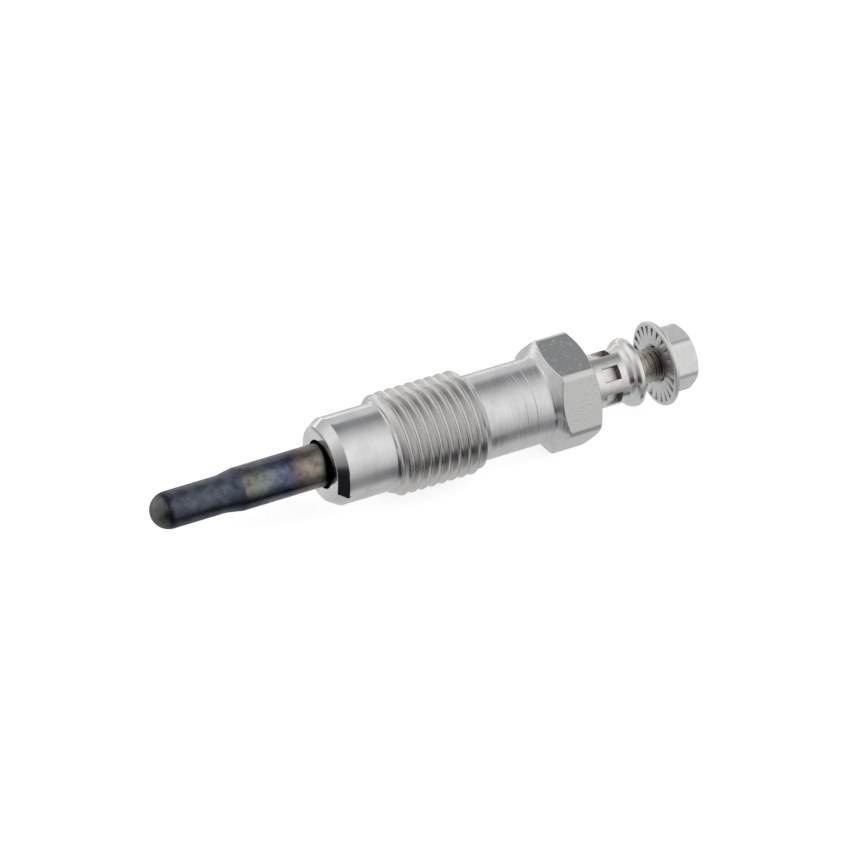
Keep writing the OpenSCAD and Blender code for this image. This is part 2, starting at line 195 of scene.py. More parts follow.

# Heat-resistant steel tube under a thin oxide: blue-grey, with straw and purple temper colours, and a ring of painted
# shade at the base of the dome
temper = {
    # the stops from 0.062 to 0.105 are painted shade: a dark ring round the tube where the dome meets it
    "stops": [(0.0, "#908e88"), (0.04, "#82817f"), (0.062, "#66676b"), (0.072, "#383b44"), (0.086, "#41454f"),
              (0.105, "#6b7079"), (0.4, "#787c85"), (0.5, "#5f677b"), (0.51, "#7c786d"), (0.62, "#838888"),
              (0.69, "#737b89"), (0.76, "#616880"), (0.81, "#6c646d"), (0.86, "#877a70"), (0.905, "#978e83"),
              (0.96, "#958e84"), (1.0, "#79746b")],
    "reach": 20.9, "wanderMm": 1.6, "wander": 0.022, "lean": -11, "fleckMm": 1.2, "scratchMm": 1.5,
    "smooth": 0.24, "dull": 0.34, "sooty": 0.08, "highlightSide": 132, "highlightMm": 2.5, "shade": "#ced2da", "collarLean": -6,
    "collarFrom": 0.985, "fleckTone": "#857e69", "scratchTone": "#a3a5a6", "collarTone": "#141415", "brushMm": 0.1,
    "brushDeepMm": 0.012,
}
oxideTube, tree, shader, where = startMaterial("oxidisedHeatResistantSteel", Metallic=1.0)
axes = addNode(tree, "SeparateXYZ", links={"Vector": where})
patches = addNode(tree, "TexNoise", links={"Vector": where},
                  values={"Scale": 1 / (temper["wanderMm"] * mm), "Detail": 3.0, "Roughness": 0.55})
tubeTip = shellLow.x - temper["reach"] * mm
course = addNode(tree, "MapRange", links={"Value": axes.outputs["X"]},
                 values={"From Min": tubeTip, "From Max": shellLow.x, "To Min": 0.0, "To Max": 1.0})
# the temper bands wander, but not across the crisp end of the cone
sway = addNode(tree, "MapRange", links={"Value": patches},
               values={"From Min": 0.3, "From Max": 0.7, "To Min": -temper["wander"], "To Max": temper["wander"]})
clear = addNode(tree, "MapRange", links={"Value": course},
                values={"From Min": 0.52, "From Max": 0.62, "To Min": 0.0, "To Max": 1.0})
shift = addNode(tree, "Math", links={0: sway, 1: clear}, operation="MULTIPLY")
swayed = addNode(tree, "Math", links={0: course, 1: shift}, operation="ADD")
# and they lean, further out on the near side
lean = addNode(tree, "Math", links={0: axes.outputs["Y"], 1: clear}, operation="MULTIPLY")
heat = addNode(tree, "Math", links={0: lean, 2: swayed}, values={1: temper["lean"]}, operation="MULTIPLY_ADD")
temperColour = addNode(tree, "ValToRGB", links={"Fac": heat}, stops=temper["stops"])
flecks = addNode(tree, "TexNoise", links={"Vector": where},
                 values={"Scale": 1 / (temper["fleckMm"] * mm), "Detail": 5.0, "Roughness": 0.7})
fleckMask = addNode(tree, "MapRange", links={"Value": flecks},
                    values={"From Min": 0.55, "From Max": 0.72, "To Min": 0.0, "To Max": 0.6})
cloudy = addNode(tree, "MapRange", links={"Value": flecks},
                 values={"From Min": 0.3, "From Max": 0.6, "To Min": 0.45, "To Max": 1.25})
clouded = addNode(tree, "Mix", links={6: temperColour, 7: cloudy}, values={0: 1.0},
                  data_type="RGBA", blend_type="MULTIPLY")
worn = addNode(tree, "Mix", links={0: fleckMask, 6: clouded.outputs[2]},
               values={7: hexColour(temper["fleckTone"])}, data_type="RGBA")
# light scratches where a noise crosses its middle value, in a few places only
scratchNoise = addNode(tree, "TexNoise", links={"Vector": where},
                       values={"Scale": 1 / (temper["scratchMm"] * mm), "Detail": 2.0, "Distortion": 1.2})
fromMiddle = addNode(tree, "Math", links={0: scratchNoise}, values={1: 0.5, 2: 0.008}, operation="COMPARE")
scratchPlace = addNode(tree, "MapRange", links={"Value": patches},
                       values={"From Min": 0.52, "From Max": 0.62, "To Min": 0.0, "To Max": 0.7})
scratchMask = addNode(tree, "Math", links={0: fromMiddle, 1: scratchPlace}, operation="MULTIPLY")
scratched = addNode(tree, "Mix", links={0: scratchMask, 6: worn.outputs[2]},
                    values={7: hexColour(temper["scratchTone"])}, data_type="RGBA")
# painted highlight and shade: the oxide keeps its full colour along one side of the thick tube and is darkened
# elsewhere
highlightTurn = math.radians(temper["highlightSide"])
highlightWay = Vector((0, math.cos(highlightTurn), math.sin(highlightTurn))) / (temper["highlightMm"] * mm)
highlightSide = addNode(tree, "VectorMath", links={0: where}, values={1: highlightWay}, operation="DOT_PRODUCT")
highlightAxis = highlightWay.z * axisHeight
offHighlight = addNode(tree, "MapRange", links={"Value": highlightSide.outputs["Value"]}, interpolation_type="SMOOTHSTEP",
                   values={"From Min": highlightAxis + 0.84, "From Max": highlightAxis + 1.0, "To Min": 1.0, "To Max": 0.0})
shaded = addNode(tree, "Mix", links={0: offHighlight, 6: scratched.outputs[2]}, values={7: hexColour(temper["shade"])},
                 data_type="RGBA", blend_type="MULTIPLY")
# a black collar at the mouth, thin above and wider on the near side: soot, and painted shade of the gap round the tube
collarCourse = addNode(tree, "Math", links={0: axes.outputs["Y"], 2: course}, values={1: temper["collarLean"]},
                       operation="MULTIPLY_ADD")
collar = addNode(tree, "MapRange", links={"Value": collarCourse},
                 values={"From Min": temper["collarFrom"], "From Max": temper["collarFrom"] + 0.008})
collared = addNode(tree, "Mix", links={0: collar, 6: shaded.outputs[2]}, values={7: hexColour(temper["collarTone"])},
                   data_type="RGBA")
brushed = addNode(tree, "Mapping", links={"Vector": where}, values={"Scale": (1 / (temper["brushMm"] * mm), 120, 120)})
brushLines = addNode(tree, "TexNoise", links={"Vector": brushed}, values={"Scale": 1.0, "Detail": 3.0})
gloss = addNode(tree, "MapRange", links={"Value": patches},
                values={"From Min": 0.3, "From Max": 0.7, "To Min": temper["smooth"], "To Max": temper["dull"]})
tipSoot = addNode(tree, "MapRange", links={"Value": course},
                  values={"From Min": 0.5, "From Max": 0.512, "To Min": temper["sooty"], "To Max": 0.0})
dullness = addNode(tree, "Math", links={0: gloss, 1: tipSoot}, operation="ADD")
surface = addNode(tree, "Bump", links={"Height": brushLines},
                  values={"Strength": 1.0, "Distance": temper["brushDeepMm"] * mm})
join(tree, shader, {"Base Color": collared.outputs[2], "Roughness": dullness, "Normal": surface})

# Bright zinc plate on the pressed round nut: whiter than the body and nearly a mirror
brightZinc = {"light": "#ecebe9", "dark": "#dddcda", "cloudMm": 1.1, "smooth": 0.16, "dull": 0.25, "deepMm": 0.006}
zincBright = zincMaterial("brightZincPlate", brightZinc)

# Sheared wall at the deep end of a crimp pocket: bare steel, brown with oil
oil = {"patchMm": 0.25, "dark": "#5d4e49", "light": "#85756f"}
crimpWall = mottledMaterial("oiledShearedSteel", oil, Metallic=0.9, Roughness=0.42)

# Zinc at the bottom of the pockets, matt from the punch
punch = {"patchMm": 0.3, "dark": "#e0dedb", "light": "#f0efed"}
punchedZinc = mottledMaterial("punchedZinc", punch, Metallic=1.0, Roughness=0.42)

# Passivated steel of the stud: light warm grey, darkened next to the flange nut by painted shade
studSteel = {"light": "#f6f2ea", "dark": "#d0cbc2", "nutShade": "#4b473f", "unshadedToMm": 40.6, "fullShadeFromMm": 42.6,
             "shadeMost": 0.85, "cutMm": 0.07, "deepMm": 0.003, "smooth": 0.16, "dull": 0.3}
studFinish, tree, shader, where = startMaterial("passivatedStudSteel", Metallic=1.0)
cut = addNode(tree, "Mapping", links={"Vector": where}, values={"Scale": (1 / (studSteel["cutMm"] * mm), 700, 700)})
cutLines = addNode(tree, "TexNoise", links={"Vector": cut}, values={"Scale": 1.0, "Detail": 3.0})
tint = addNode(tree, "ValToRGB", links={"Fac": cutLines}, stops=[(0.3, studSteel["dark"]), (0.7, studSteel["light"])])
axes = addNode(tree, "SeparateXYZ", links={"Vector": where})
# painted shade: the stud darkens towards the flange nut
nutShadeMask = addNode(tree, "MapRange", links={"Value": axes.outputs["X"]},
                 values={"From Min": shellLow.x + studSteel["unshadedToMm"] * mm, "To Min": 0.0,
                         "From Max": shellLow.x + studSteel["fullShadeFromMm"] * mm, "To Max": studSteel["shadeMost"]})
darker = addNode(tree, "Mix", links={0: nutShadeMask, 6: tint}, values={7: hexColour(studSteel["nutShade"])}, data_type="RGBA")
gloss = addNode(tree, "MapRange", links={"Value": cutLines},
                values={"From Min": 0.3, "From Max": 0.7, "To Min": studSteel["smooth"], "To Max": studSteel["dull"]})
surface = addNode(tree, "Bump", links={"Height": cutLines},
                  values={"Strength": 1.0, "Distance": studSteel["deepMm"] * mm})
join(tree, shader, {"Base Color": darker.outputs[2], "Roughness": gloss, "Normal": surface})

# Barrel-plated zinc on the flange nut: silvery white and softly polished
barrelZinc = {"light": "#e4e4e3", "dark": "#dededd", "cloudMm": 0.8, "smooth": 0.34, "dull": 0.4, "deepMm": 0.002}
zincSoft = zincMaterial("barrelPlatedZinc", barrelZinc)

# The same zinc in the slots of the nut: thin plate dulled by grease, and drawn darker as painted shade in the slots
nutShade = {"patchMm": 0.3, "dark": "#9d9a9c", "light": "#b8b5b7"}
slotZinc = mottledMaterial("greasyShadedZincSlot", nutShade, Metallic=1.0, Roughness=0.5)

# Moulded phenolic washer: warm brown, faintly mottled and slightly shiny
moulding = {"patchMm": 0.5, "detail": 4.0, "dark": "#3b241a", "light": "#573627", "deepMm": 0.01}
phenolic = mottledMaterial("mouldedPhenolic", moulding, Roughness=0.42, IOR=1.55)

# Pieces sealed inside keep their CAD shape: wire, packed powder and rubber, each with a fine mottle
innerFinishes = {
    "heating_coil": ("ironChromiumWire", 1.0, 0.35, 0.2, "#6e665c", "#8d8376"),
    "regulating_coil": ("nickelWire", 1.0, 0.3, 0.2, "#9c968a", "#bdb6a8"),
    "insulating_powder": ("packedMagnesiaPowder", 0.0, 0.95, 0.15, "#dcd9d0", "#f0eee8"),
    "tube_seal": ("siliconeRubber", 0.0, 0.6, 0.3, "#5c2f26", "#74402f"),
    "body_o_ring": ("nitrileRubber", 0.0, 0.55, 0.3, "#17171a", "#26262a"),
}
for nodeName, (name, metal, dull, grainMm, dark, light) in innerFinishes.items():
    inner = mottledMaterial(name, {"patchMm": grainMm, "dark": dark, "light": light}, Metallic=metal, Roughness=dull)
    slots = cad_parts[nodeName].data.materials
    if len(slots):
        slots[0] = inner
    else:
        slots.append(inner)
print("finishes made:", len(bpy.data.materials))


def growRing(bm, ring, place, finish=0):
    # extrudes a ring of edges and puts the new one where place says, by each column's own angle
    turn = bm.verts.layers.float["turn"]
    grown = bmesh.ops.extrude_edge_only(bm, edges=ring)["geom"]
    fresh = {g for g in grown if isinstance(g, bmesh.types.BMVert)}
    for vert in fresh:
        x, r, angle = place(vert[turn])
        vert.co = (x, r * math.cos(angle), r * math.sin(angle))
    for g in grown:
        if isinstance(g, bmesh.types.BMFace):
            g.material_index = finish
    return [g for g in grown if isinstance(g, bmesh.types.BMEdge) and all(v in fresh for v in g.verts)]


def roundAt(x, r):
    return lambda turn: (x, r, turn)


def sectorAngle(angle, flat):
    # angle from the nearest of six flats, from -30 to 30 degrees
    return (angle - flat + math.radians(30)) % math.radians(60) - math.radians(30)


def spreadColumns(angle, flat, columnEdge, wantedEdge):
    # slides the columns of a sector so that one of them lies on the wanted edge
    local = sectorAngle(angle, flat)
    half = math.radians(30)
    size = abs(local)
    if size <= columnEdge + 1e-4:
        moved = size * wantedEdge / columnEdge
    else:
        moved = wantedEdge + (size - columnEdge) * (half - wantedEdge) / (half - columnEdge)
    return angle + math.copysign(moved - size, local)


def soften(bm, edges, offset, segments=3):
    bmesh.ops.bevel(bm, geom=edges, offset=offset, offset_type="OFFSET", segments=segments, profile=0.5,
                    affect="EDGES", material=-1, clamp_overlap=True)


def spinProfile(bm, corners, columns, start):
    # corners are (x, r, rounding), and rounding is how far back from the corner its arc starts
    verts = [bm.verts.new((x, r * math.cos(start), r * math.sin(start))) for x, r, rounding in corners]
    for first, second in zip(verts, verts[1:]):
        bm.edges.new((first, second))
    for vert, (x, r, rounding) in zip(verts, corners):
        if rounding:
            bmesh.ops.bevel(bm, geom=[vert], offset=rounding, offset_type="OFFSET", segments=8 if rounding > 0.3 else 4,
                            profile=0.5, affect="VERTICES", material=-1, clamp_overlap=False)
    bmesh.ops.spin(bm, geom=bm.verts[:] + bm.edges[:], cent=(0, 0, 0), axis=(1, 0, 0), dvec=(0, 0, 0),
                   angle=fullTurn, steps=columns, use_merge=True, use_duplicate=False)


def cutThread(bm, thread, envelope):
    # a strip of one pitch, spun along the helix, trimmed at both ends and held inside the envelope
    pitch, crestR, rootR = thread["pitch"], thread["crestR"], thread["rootR"]
    crest, edge = thread["crest"] / 2, thread["edge"]
    flankRun = (crestR - rootR) * math.tan(math.radians(30))
    rootEdge = pitch / 2 - crest - flankRun
    half = [(0, rootR), (rootEdge * 0.6, rootR + edge * 0.3), (rootEdge + edge * 0.5, rootR + edge)]
    for part in (0.35, 0.65):
        half.append((rootEdge + flankRun * part, rootR + (crestR - rootR) * part))
    half += [(pitch / 2 - crest - edge * 0.6, crestR - edge), (pitch / 2 - crest + edge * 0.6, crestR)]
    profile = half + [(pitch - x, r) for x, r in reversed(half)]
    begin = thread["fromX"] - thread["lead"] - pitch * 1.5
    turns = math.ceil((thread["toX"] + 0.1 - begin) / pitch)
    verts = [bm.verts.new((begin + x, 0, r)) for x, r in profile]
    for first, second in zip(verts, verts[1:]):
        bm.edges.new((first, second))
    columns = thread["columns"]
    bmesh.ops.spin(bm, geom=bm.verts[:] + bm.edges[:], cent=(0, 0, 0), axis=(1, 0, 0), dvec=(pitch / columns, 0, 0),
                   angle=fullTurn, steps=columns, use_merge=False, use_duplicate=False)
    oneTurn = bm.verts[:] + bm.edges[:] + bm.faces[:]
    for count in range(1, turns):
        copied = bmesh.ops.duplicate(bm, geom=oneTurn)["geom"]
        bmesh.ops.translate(bm, vec=(pitch * count, 0, 0),
                            verts=[g for g in copied if isinstance(g, bmesh.types.BMVert)])
    bmesh.ops.remove_doubles(bm, verts=bm.verts, dist=0.006)
    for x in thread["cuts"]:
        bmesh.ops.bisect_plane(bm, geom=bm.verts[:] + bm.edges[:] + bm.faces[:], dist=1e-4, plane_co=(x, 0, 0),
                               plane_no=(1, 0, 0), clear_inner=x == thread["fromX"], clear_outer=x == thread["toX"])
    for vert in bm.verts:
        r = math.hypot(vert.co.y, vert.co.z)
        wanted = envelope(vert.co.x, r)
        vert.co.y *= wanted / r
        vert.co.z *= wanted / r
    turn = bm.verts.layers.float.new("turn")
    for vert in bm.verts:
        vert[turn] = math.atan2(vert.co.z, vert.co.y)
    ends = []
    for x in (thread["fromX"], thread["toX"]):
        ends.append([e for e in bm.edges if e.is_boundary and all(abs(v.co.x - x) < 1e-3 for v in e.verts)])
    return ends


def linkMesh(bm, name, finishes):
    mesh = bpy.data.meshes.new(name)
    bm.to_mesh(mesh)
    bm.free()
    for finish in finishes:
        mesh.materials.append(finish)
    made = bpy.data.objects.new(name, mesh)
    bpy.context.scene.collection.objects.link(made)
    return made


def settle(bm, name, finishes, sharp=42):
    # closes seams, points faces outwards and puts the piece into the frame at the origin
    bmesh.ops.remove_doubles(bm, verts=bm.verts, dist=0.0008)
    bmesh.ops.recalc_face_normals(bm, faces=bm.faces)
    for face in bm.faces:
        face.smooth = True
    for edge in bm.edges:
        edge.smooth = edge.calc_face_angle(0) < math.radians(sharp)
    loose = sum(not e.is_manifold for e in bm.edges)
    bmesh.ops.transform(bm, matrix=toRow, verts=bm.verts)
    piece = linkMesh(bm, name, finishes)
    evenShading = piece.modifiers.new("evenShading", "WEIGHTED_NORMAL")
    evenShading.keep_sharp = True
    print(name, "faces", len(piece.data.polygons), "open edges", loose)
    return piece


# Body: nose, pilot, rolled thread, shank and hexagon in one skin, bored through
body = {
    "noseR": 4.35, "seatLen": 1.2, "pilotR": 5.1, "shankR": 5.0, "hexX": 27.4, "rearX": 33.0, "hexHalf": 6.0,
    "cornerR": 6.75, "rearFlatR": 5.7, "chamfer": 30, "mouthR": 2.85, "mouthDepth": 4.0, "boreR": 2.52,
    "socketR": 2.9, "socketX": 29.0, "fillet": 0.2, "edge": 0.08,
    "feedFrom": 0.2, "feedMin": 0.1, "feedMax": 0.3, "feedDepth": 0.012, "scores": [23.9, 25.1], "scoreDepth": 0.02,
    "scoreHalf": 0.05, "scoreClear": 0.09, "pilotFeedMin": 0.15, "pilotFeedMax": 0.4, "pilotFeedDepth": 0.0022,
    "plainEnd": 0.5, "seatEdge": 0.07, "mouthEdge": 0.06, "rearEdge": 0.06, "shankEdge": 0.08, "boreToX": 28,
}
bodyThread = {"columns": 192, "pitch": 1.25, "crestR": 6.0, "rootR": 5.24, "crest": 0.1, "edge": 0.03, "lead": 0.34,
              "fromX": 7.2, "toX": 19.0, "runInX": 8.1, "runOutX": 18.0}
bodyThread["cuts"] = [bodyThread[key] for key in ("fromX", "runInX", "runOutX", "toX")]


def bodyEnvelope(x, r):
    rise = (x - bodyThread["fromX"]) / (bodyThread["runInX"] - bodyThread["fromX"])
    fall = (bodyThread["toX"] - x) / (bodyThread["toX"] - bodyThread["runOutX"])
    front = body["pilotR"] + (bodyThread["crestR"] - body["pilotR"]) * min(1, max(0, rise))
    back = body["shankR"] + (bodyThread["crestR"] - body["shankR"]) * min(1, max(0, fall))
    return min(r, front, back)


bm = bmesh.new()
frontRing, backRing = cutThread(bm, bodyThread, bodyEnvelope)
for face in bm.faces:
    face.material_index = 1
for ring, r in ((frontRing, body["pilotR"]), (backRing, body["shankR"])):
    for vert in {v for e in ring for v in e.verts}:
        grip = r / math.hypot(vert.co.y, vert.co.z)
        vert.co.y *= grip
        vert.co.z *= grip
lathe = random.Random(11)
rounded = []  # rings to soften with their own offset

# forwards: pilot with light feed marks, seat cone, nose, mouth and bore
ring = frontRing
x = bodyThread["fromX"]
while x > body["seatLen"] + body["plainEnd"]:
    x -= lathe.uniform(body["pilotFeedMin"], body["pilotFeedMax"])
    ring = growRing(bm, ring, roundAt(x, body["pilotR"] - lathe.uniform(0, body["pilotFeedDepth"])))
for x, r, finish, offset in (
    (body["seatLen"], body["pilotR"], 0, body["seatEdge"]), (0, body["noseR"], 0, body["seatEdge"]),
    (0, body["mouthR"], 0, body["mouthEdge"]), (body["mouthDepth"], body["mouthR"], 3, 0),
    (body["mouthDepth"], body["boreR"], 3, 0), (body["boreToX"], body["boreR"], 3, 0),
):
    ring = growRing(bm, ring, roundAt(x, r), finish)
    if offset:
        rounded.append((ring, offset))

# backwards: shank with coarse feed marks and a few deep scores, then the hexagon
ring = backRing
rounded.append((backRing, body["shankEdge"]))
stations = []
x = bodyThread["toX"] + body["feedFrom"]
while x < body["hexX"] - body["plainEnd"]:
    stations.append((x, body["shankR"] - lathe.uniform(0, body["feedDepth"])))
    x += lathe.uniform(body["feedMin"], body["feedMax"])
for score in body["scores"]:
    stations = [s for s in stations if abs(s[0] - score) > body["scoreClear"]]
    stations += [(score - body["scoreHalf"], body["shankR"]), (score, body["shankR"] - body["scoreDepth"]),
                 (score + body["scoreHalf"], body["shankR"])]
for x, r in sorted(stations):
    ring = growRing(bm, ring, roundAt(x, r))
ring = growRing(bm, ring, roundAt(body["hexX"], body["shankR"]))
rounded.append((ring, body["fillet"]))

cornerEdge = math.acos(body["hexHalf"] / body["cornerR"])  # where a flat meets the turned corner
hexColumn = math.radians(26.25)  # the column that is slid there
slope = math.tan(math.radians(body["chamfer"]))


def hexFront(turn):
    angle = spreadColumns(turn, upright, hexColumn, cornerEdge)
    r = min(body["hexHalf"] / math.cos(sectorAngle(angle, upright)), body["cornerR"])
    return body["hexX"] + (r - body["shankR"]) * slope, r, angle


def hexBack(turn):
    x, r, angle = hexFront(turn)
    return body["rearX"] - (r - body["rearFlatR"]) * slope, r, angle


hexFrontRing = growRing(bm, ring, hexFront)
hexBackRing = growRing(bm, hexFrontRing, hexBack, 2)
ring = growRing(bm, hexBackRing, roundAt(body["rearX"], body["rearFlatR"]))
rounded.append((ring, body["rearEdge"]))
for x, r in ((body["rearX"], body["socketR"]), (body["socketX"], body["socketR"]), (body["socketX"], body["boreR"])):
    ring = growRing(bm, ring, roundAt(x, r), 3 if r < body["socketR"] + 1e-6 and x < body["rearX"] else 0)
cornerLines = []
for vert in {v for e in hexFrontRing for v in e.verts}:
    local = abs(sectorAngle(math.atan2(vert.co.z, vert.co.y), upright))
    if abs(local - cornerEdge) < 1e-3:
        cornerLines += [e for e in vert.link_edges if abs(e.verts[0].co.x - e.verts[1].co.x) > 2]
for edges, offset in rounded:
    soften(bm, edges, offset)
soften(bm, hexFrontRing + hexBackRing + cornerLines, body["edge"])
bmesh.ops.bridge_loops(bm, edges=[e for e in bm.edges if e.is_boundary])
platedBody = settle(bm, "platedBody", [nickelTurned, nickelThread, nickelHex, sootyShadedSteel])
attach(platedBody, "root")
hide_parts("body_shell")

# Glow tube: domed tip, swaged cone and thick tube, open at the end that is pressed into the body
tube = {"tipX": -20.9, "tipR": 2.15, "swageX": -12.3, "thickX": -10.3, "thickR": 2.5, "endX": 14.0,
        "boreR": 1.95, "tipBoreR": 1.6, "cavityX": -19.3, "noseX": -4, "tipFlat": 0.001, "swageRound": 0.35,
        "thickRound": 0.04, "endRound": 0.2}
bm = bmesh.new()
spinProfile(bm, [
    (tube["tipX"], 0, 0), (tube["tipX"], tube["tipR"], tube["tipR"] - tube["tipFlat"]),
    (tube["swageX"], tube["tipR"], tube["swageRound"]), (tube["thickX"], tube["thickR"], tube["thickRound"]),
    (tube["noseX"], tube["thickR"], 0), (tube["endX"], tube["thickR"], tube["endRound"]),
    (tube["endX"], tube["boreR"], 0), (tube["thickX"], tube["boreR"], 0), (tube["swageX"], tube["tipBoreR"], 0),
    (tube["cavityX"], tube["tipBoreR"], 0), (tube["cavityX"], 0, 0),
], 128, upright)
oxidisedTube = settle(bm, "oxidisedTube", [oxideTube])
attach(oxidisedTube, "root")
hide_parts("glow_tube")

# Terminal stud: plain pin in the body and a fine thread that starts under the round nut
stud = {"pinX": -2.1, "pinR": 1.4, "landX": 27.0, "studR": 2.0, "endR": 1.56}
studThread = {"columns": 96, "pitch": 0.7, "crestR": 2.0, "rootR": 1.58, "crest": 0.06, "edge": 0.02, "lead": 0.2,
              "fromX": 34.2, "toX": 46.75, "fadeX": 35.2, "chamferX": 46.3}
studThread["cuts"] = [studThread[key] for key in ("fromX", "fadeX", "chamferX", "toX")]


def studEnvelope(x, r):
    deep = min(1, max(0, (x - studThread["fromX"]) / (studThread["fadeX"] - studThread["fromX"])))
    tip = min(1, max(0, (studThread["toX"] - x) / (studThread["toX"] - studThread["chamferX"])))
    return min(stud["studR"] - (stud["studR"] - r) * deep, stud["endR"] + (stud["studR"] - stud["endR"]) * tip)


bm = bmesh.new()
frontRing, backRing = cutThread(bm, studThread, studEnvelope)
ring = frontRing
for x, r in ((stud["landX"] + stud["studR"] - stud["pinR"], stud["studR"]), (stud["landX"], stud["pinR"]),
             (stud["pinX"], stud["pinR"])):
    ring = growRing(bm, ring, roundAt(x, r))
bmesh.ops.contextual_create(bm, geom=ring)
ring = growRing(bm, backRing, roundAt(studThread["toX"], stud["endR"] * 0.6))
bmesh.ops.contextual_create(bm, geom=ring)
threadedStud = settle(bm, "threadedStud", [studFinish], 50)
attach(threadedStud, "root")
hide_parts("terminal_stud")

# Insulating washer: a flange behind the hexagon and a spigot in its counterbore
washer = {"spigotX": 29.9, "spigotR": 2.85, "rearX": 33.0, "endX": 33.9, "flangeR": 3.5, "holeR": 2.05, "round": 0.1,
          "endRound": 0.12, "holeRound": 0.05}
bm = bmesh.new()
spinProfile(bm, [
    (washer["spigotX"], washer["holeR"], 0), (washer["spigotX"], washer["spigotR"], washer["round"]),
    (washer["rearX"], washer["spigotR"], 0), (washer["rearX"], washer["flangeR"], washer["round"]),
    (washer["endX"], washer["flangeR"], washer["endRound"]), (washer["endX"], washer["holeR"], washer["holeRound"]),
    (washer["spigotX"], washer["holeR"], 0),
], 96, upright)
phenolicWasher = settle(bm, "phenolicWasher", [phenolic])
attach(phenolicWasher, "root")
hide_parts("insulating_washer")

# Round nut: barrel, hollow flare and rolled rim, crimped by six pockets that deepen towards the rim
roundNut = {"frontX": 33.9, "barrelR": 3.2, "flareX": 38.345, "flareRun": 0.5, "rimX": 38.943, "rimR": 4.05,
            "rimRun": 0.44, "rimRound": 0.3, "endX": 39.85, "holeR": 2.05, "pocketFrom": 35.1, "pocketMid": 36.0,
            "pocketTo": 37.15, "pocketHalf": 0.85, "shallow": 0.22, "deep": 0.75, "wall": 0.2, "draft": 0.06,
            "creaseBand": 0.05, "endRound": 0.12, "skinFromR": 3, "firstPocket": 125, "columns": 96}
bm = bmesh.new()
spinProfile(bm, [
    (roundNut["frontX"], roundNut["holeR"], 0), (roundNut["frontX"], roundNut["barrelR"], roundNut["endRound"]),
    (roundNut["pocketFrom"], roundNut["barrelR"], 0), (roundNut["pocketMid"], roundNut["barrelR"], 0),
    (roundNut["pocketTo"], roundNut["barrelR"], 0), (roundNut["flareX"], roundNut["barrelR"], roundNut["flareRun"]),
    (roundNut["rimX"], roundNut["rimR"], roundNut["rimRun"]),
    (roundNut["endX"], roundNut["rimR"], roundNut["rimRound"]),
    (roundNut["endX"], roundNut["holeR"], roundNut["endRound"]), (roundNut["frontX"], roundNut["holeR"], 0),
], roundNut["columns"], math.radians(roundNut["firstPocket"]))
bmesh.ops.remove_doubles(bm, verts=bm.verts, dist=0.0008)
bmesh.ops.recalc_face_normals(bm, faces=bm.faces)
pocketAngle = math.radians(roundNut["firstPocket"])
pocketEdge = math.asin(roundNut["pocketHalf"] / roundNut["barrelR"])
pocketColumn = math.radians(15)
for vert in bm.verts:
    r = math.hypot(vert.co.y, vert.co.z)
    angle = spreadColumns(math.atan2(vert.co.z, vert.co.y), pocketAngle, pocketColumn, pocketEdge)
    vert.co.y, vert.co.z = r * math.cos(angle), r * math.sin(angle)
pocketFaces = []
for face in bm.faces:
    middle = face.calc_center_median()
    off = abs(sectorAngle(math.atan2(middle.z, middle.y), pocketAngle))
    outside = math.hypot(middle.y, middle.z) > roundNut["skinFromR"]
    if off < pocketEdge and outside and roundNut["pocketFrom"] < middle.x < roundNut["pocketTo"]:
        pocketFaces.append(face)
sunk = bmesh.ops.extrude_face_region(bm, geom=pocketFaces)["geom"]
bmesh.ops.delete(bm, geom=[f for f in pocketFaces if f.is_valid], context="FACES")
pocketLen = roundNut["pocketTo"] - roundNut["pocketFrom"]
sunkVerts = {g for g in sunk if isinstance(g, bmesh.types.BMVert)}
for vert in sunkVerts:
    angle = math.atan2(vert.co.z, vert.co.y)
    local = sectorAngle(angle, pocketAngle)
    aside = roundNut["barrelR"] * math.sin(local) * (1 - roundNut["draft"] / roundNut["pocketHalf"])
    part = (vert.co.x - roundNut["pocketFrom"]) / pocketLen
    height = roundNut["barrelR"] - roundNut["shallow"] - (roundNut["deep"] - roundNut["shallow"]) * part
    facing = angle - local
    vert.co = (roundNut["pocketFrom"] + roundNut["draft"] + part * (pocketLen - roundNut["draft"] - roundNut["wall"]),
               height * math.cos(facing) - aside * math.sin(facing),
               height * math.sin(facing) + aside * math.cos(facing))
pocketFloor = []
for face in bm.faces:
    sunkCount = sum(v in sunkVerts for v in face.verts)
    if sunkCount == len(face.verts):
        pocketFloor.append(face)
        face.material_index = 2
    elif sunkCount and min(v.co.x for v in face.verts) > roundNut["pocketTo"] - roundNut["wall"] - 0.01:
        face.material_index = 1  # sheared wall at the deep end
    elif sunkCount:
        face.material_index = 2
# a thin band of the dark brown wall finish round the edge of each pocket floor
border = bmesh.ops.inset_region(bm, faces=pocketFloor, thickness=roundNut["creaseBand"], use_boundary=True,
                                use_even_offset=True)
for face in border["faces"]:
    face.material_index = 1
crimpedRoundNut = settle(bm, "crimpedRoundNut", [zincBright, crimpWall, punchedZinc], 35)
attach(crimpedRoundNut, "root")
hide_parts("round_nut")

# Flange nut: slots between locking teeth, rounded flange, hexagon with soft corners, chamfered end
nut = {"flangeX": 43.05, "endX": 47.05, "holeR": 2.05, "sink": 0.35, "slots": 22, "slotInR": 3.3,
       "slotRings": (3.6, 3.9, 4.2), "slotOutR": 4.5, "slotWide": 0.6, "slotDeep": 0.3, "flangeR": 5.0,
       "flangeRound": 0.22, "edgeT": 0.55, "riseX": 44.0, "riseR": 4.02, "hexHalf": 3.5, "cornerRound": 0.9,
       "endR": 3.25, "chamfer": 30, "hexTurn": 19, "columns": 132, "backRound": 0.15, "footRise": 0.06,
       "footRound": 0.06, "topRound": 0.2, "endRound": 0.08}
slotPitch = fullTurn / nut["slots"]
slotStart = slotPitch / 2 - math.pi / 2
columnStep = fullTurn / nut["columns"]


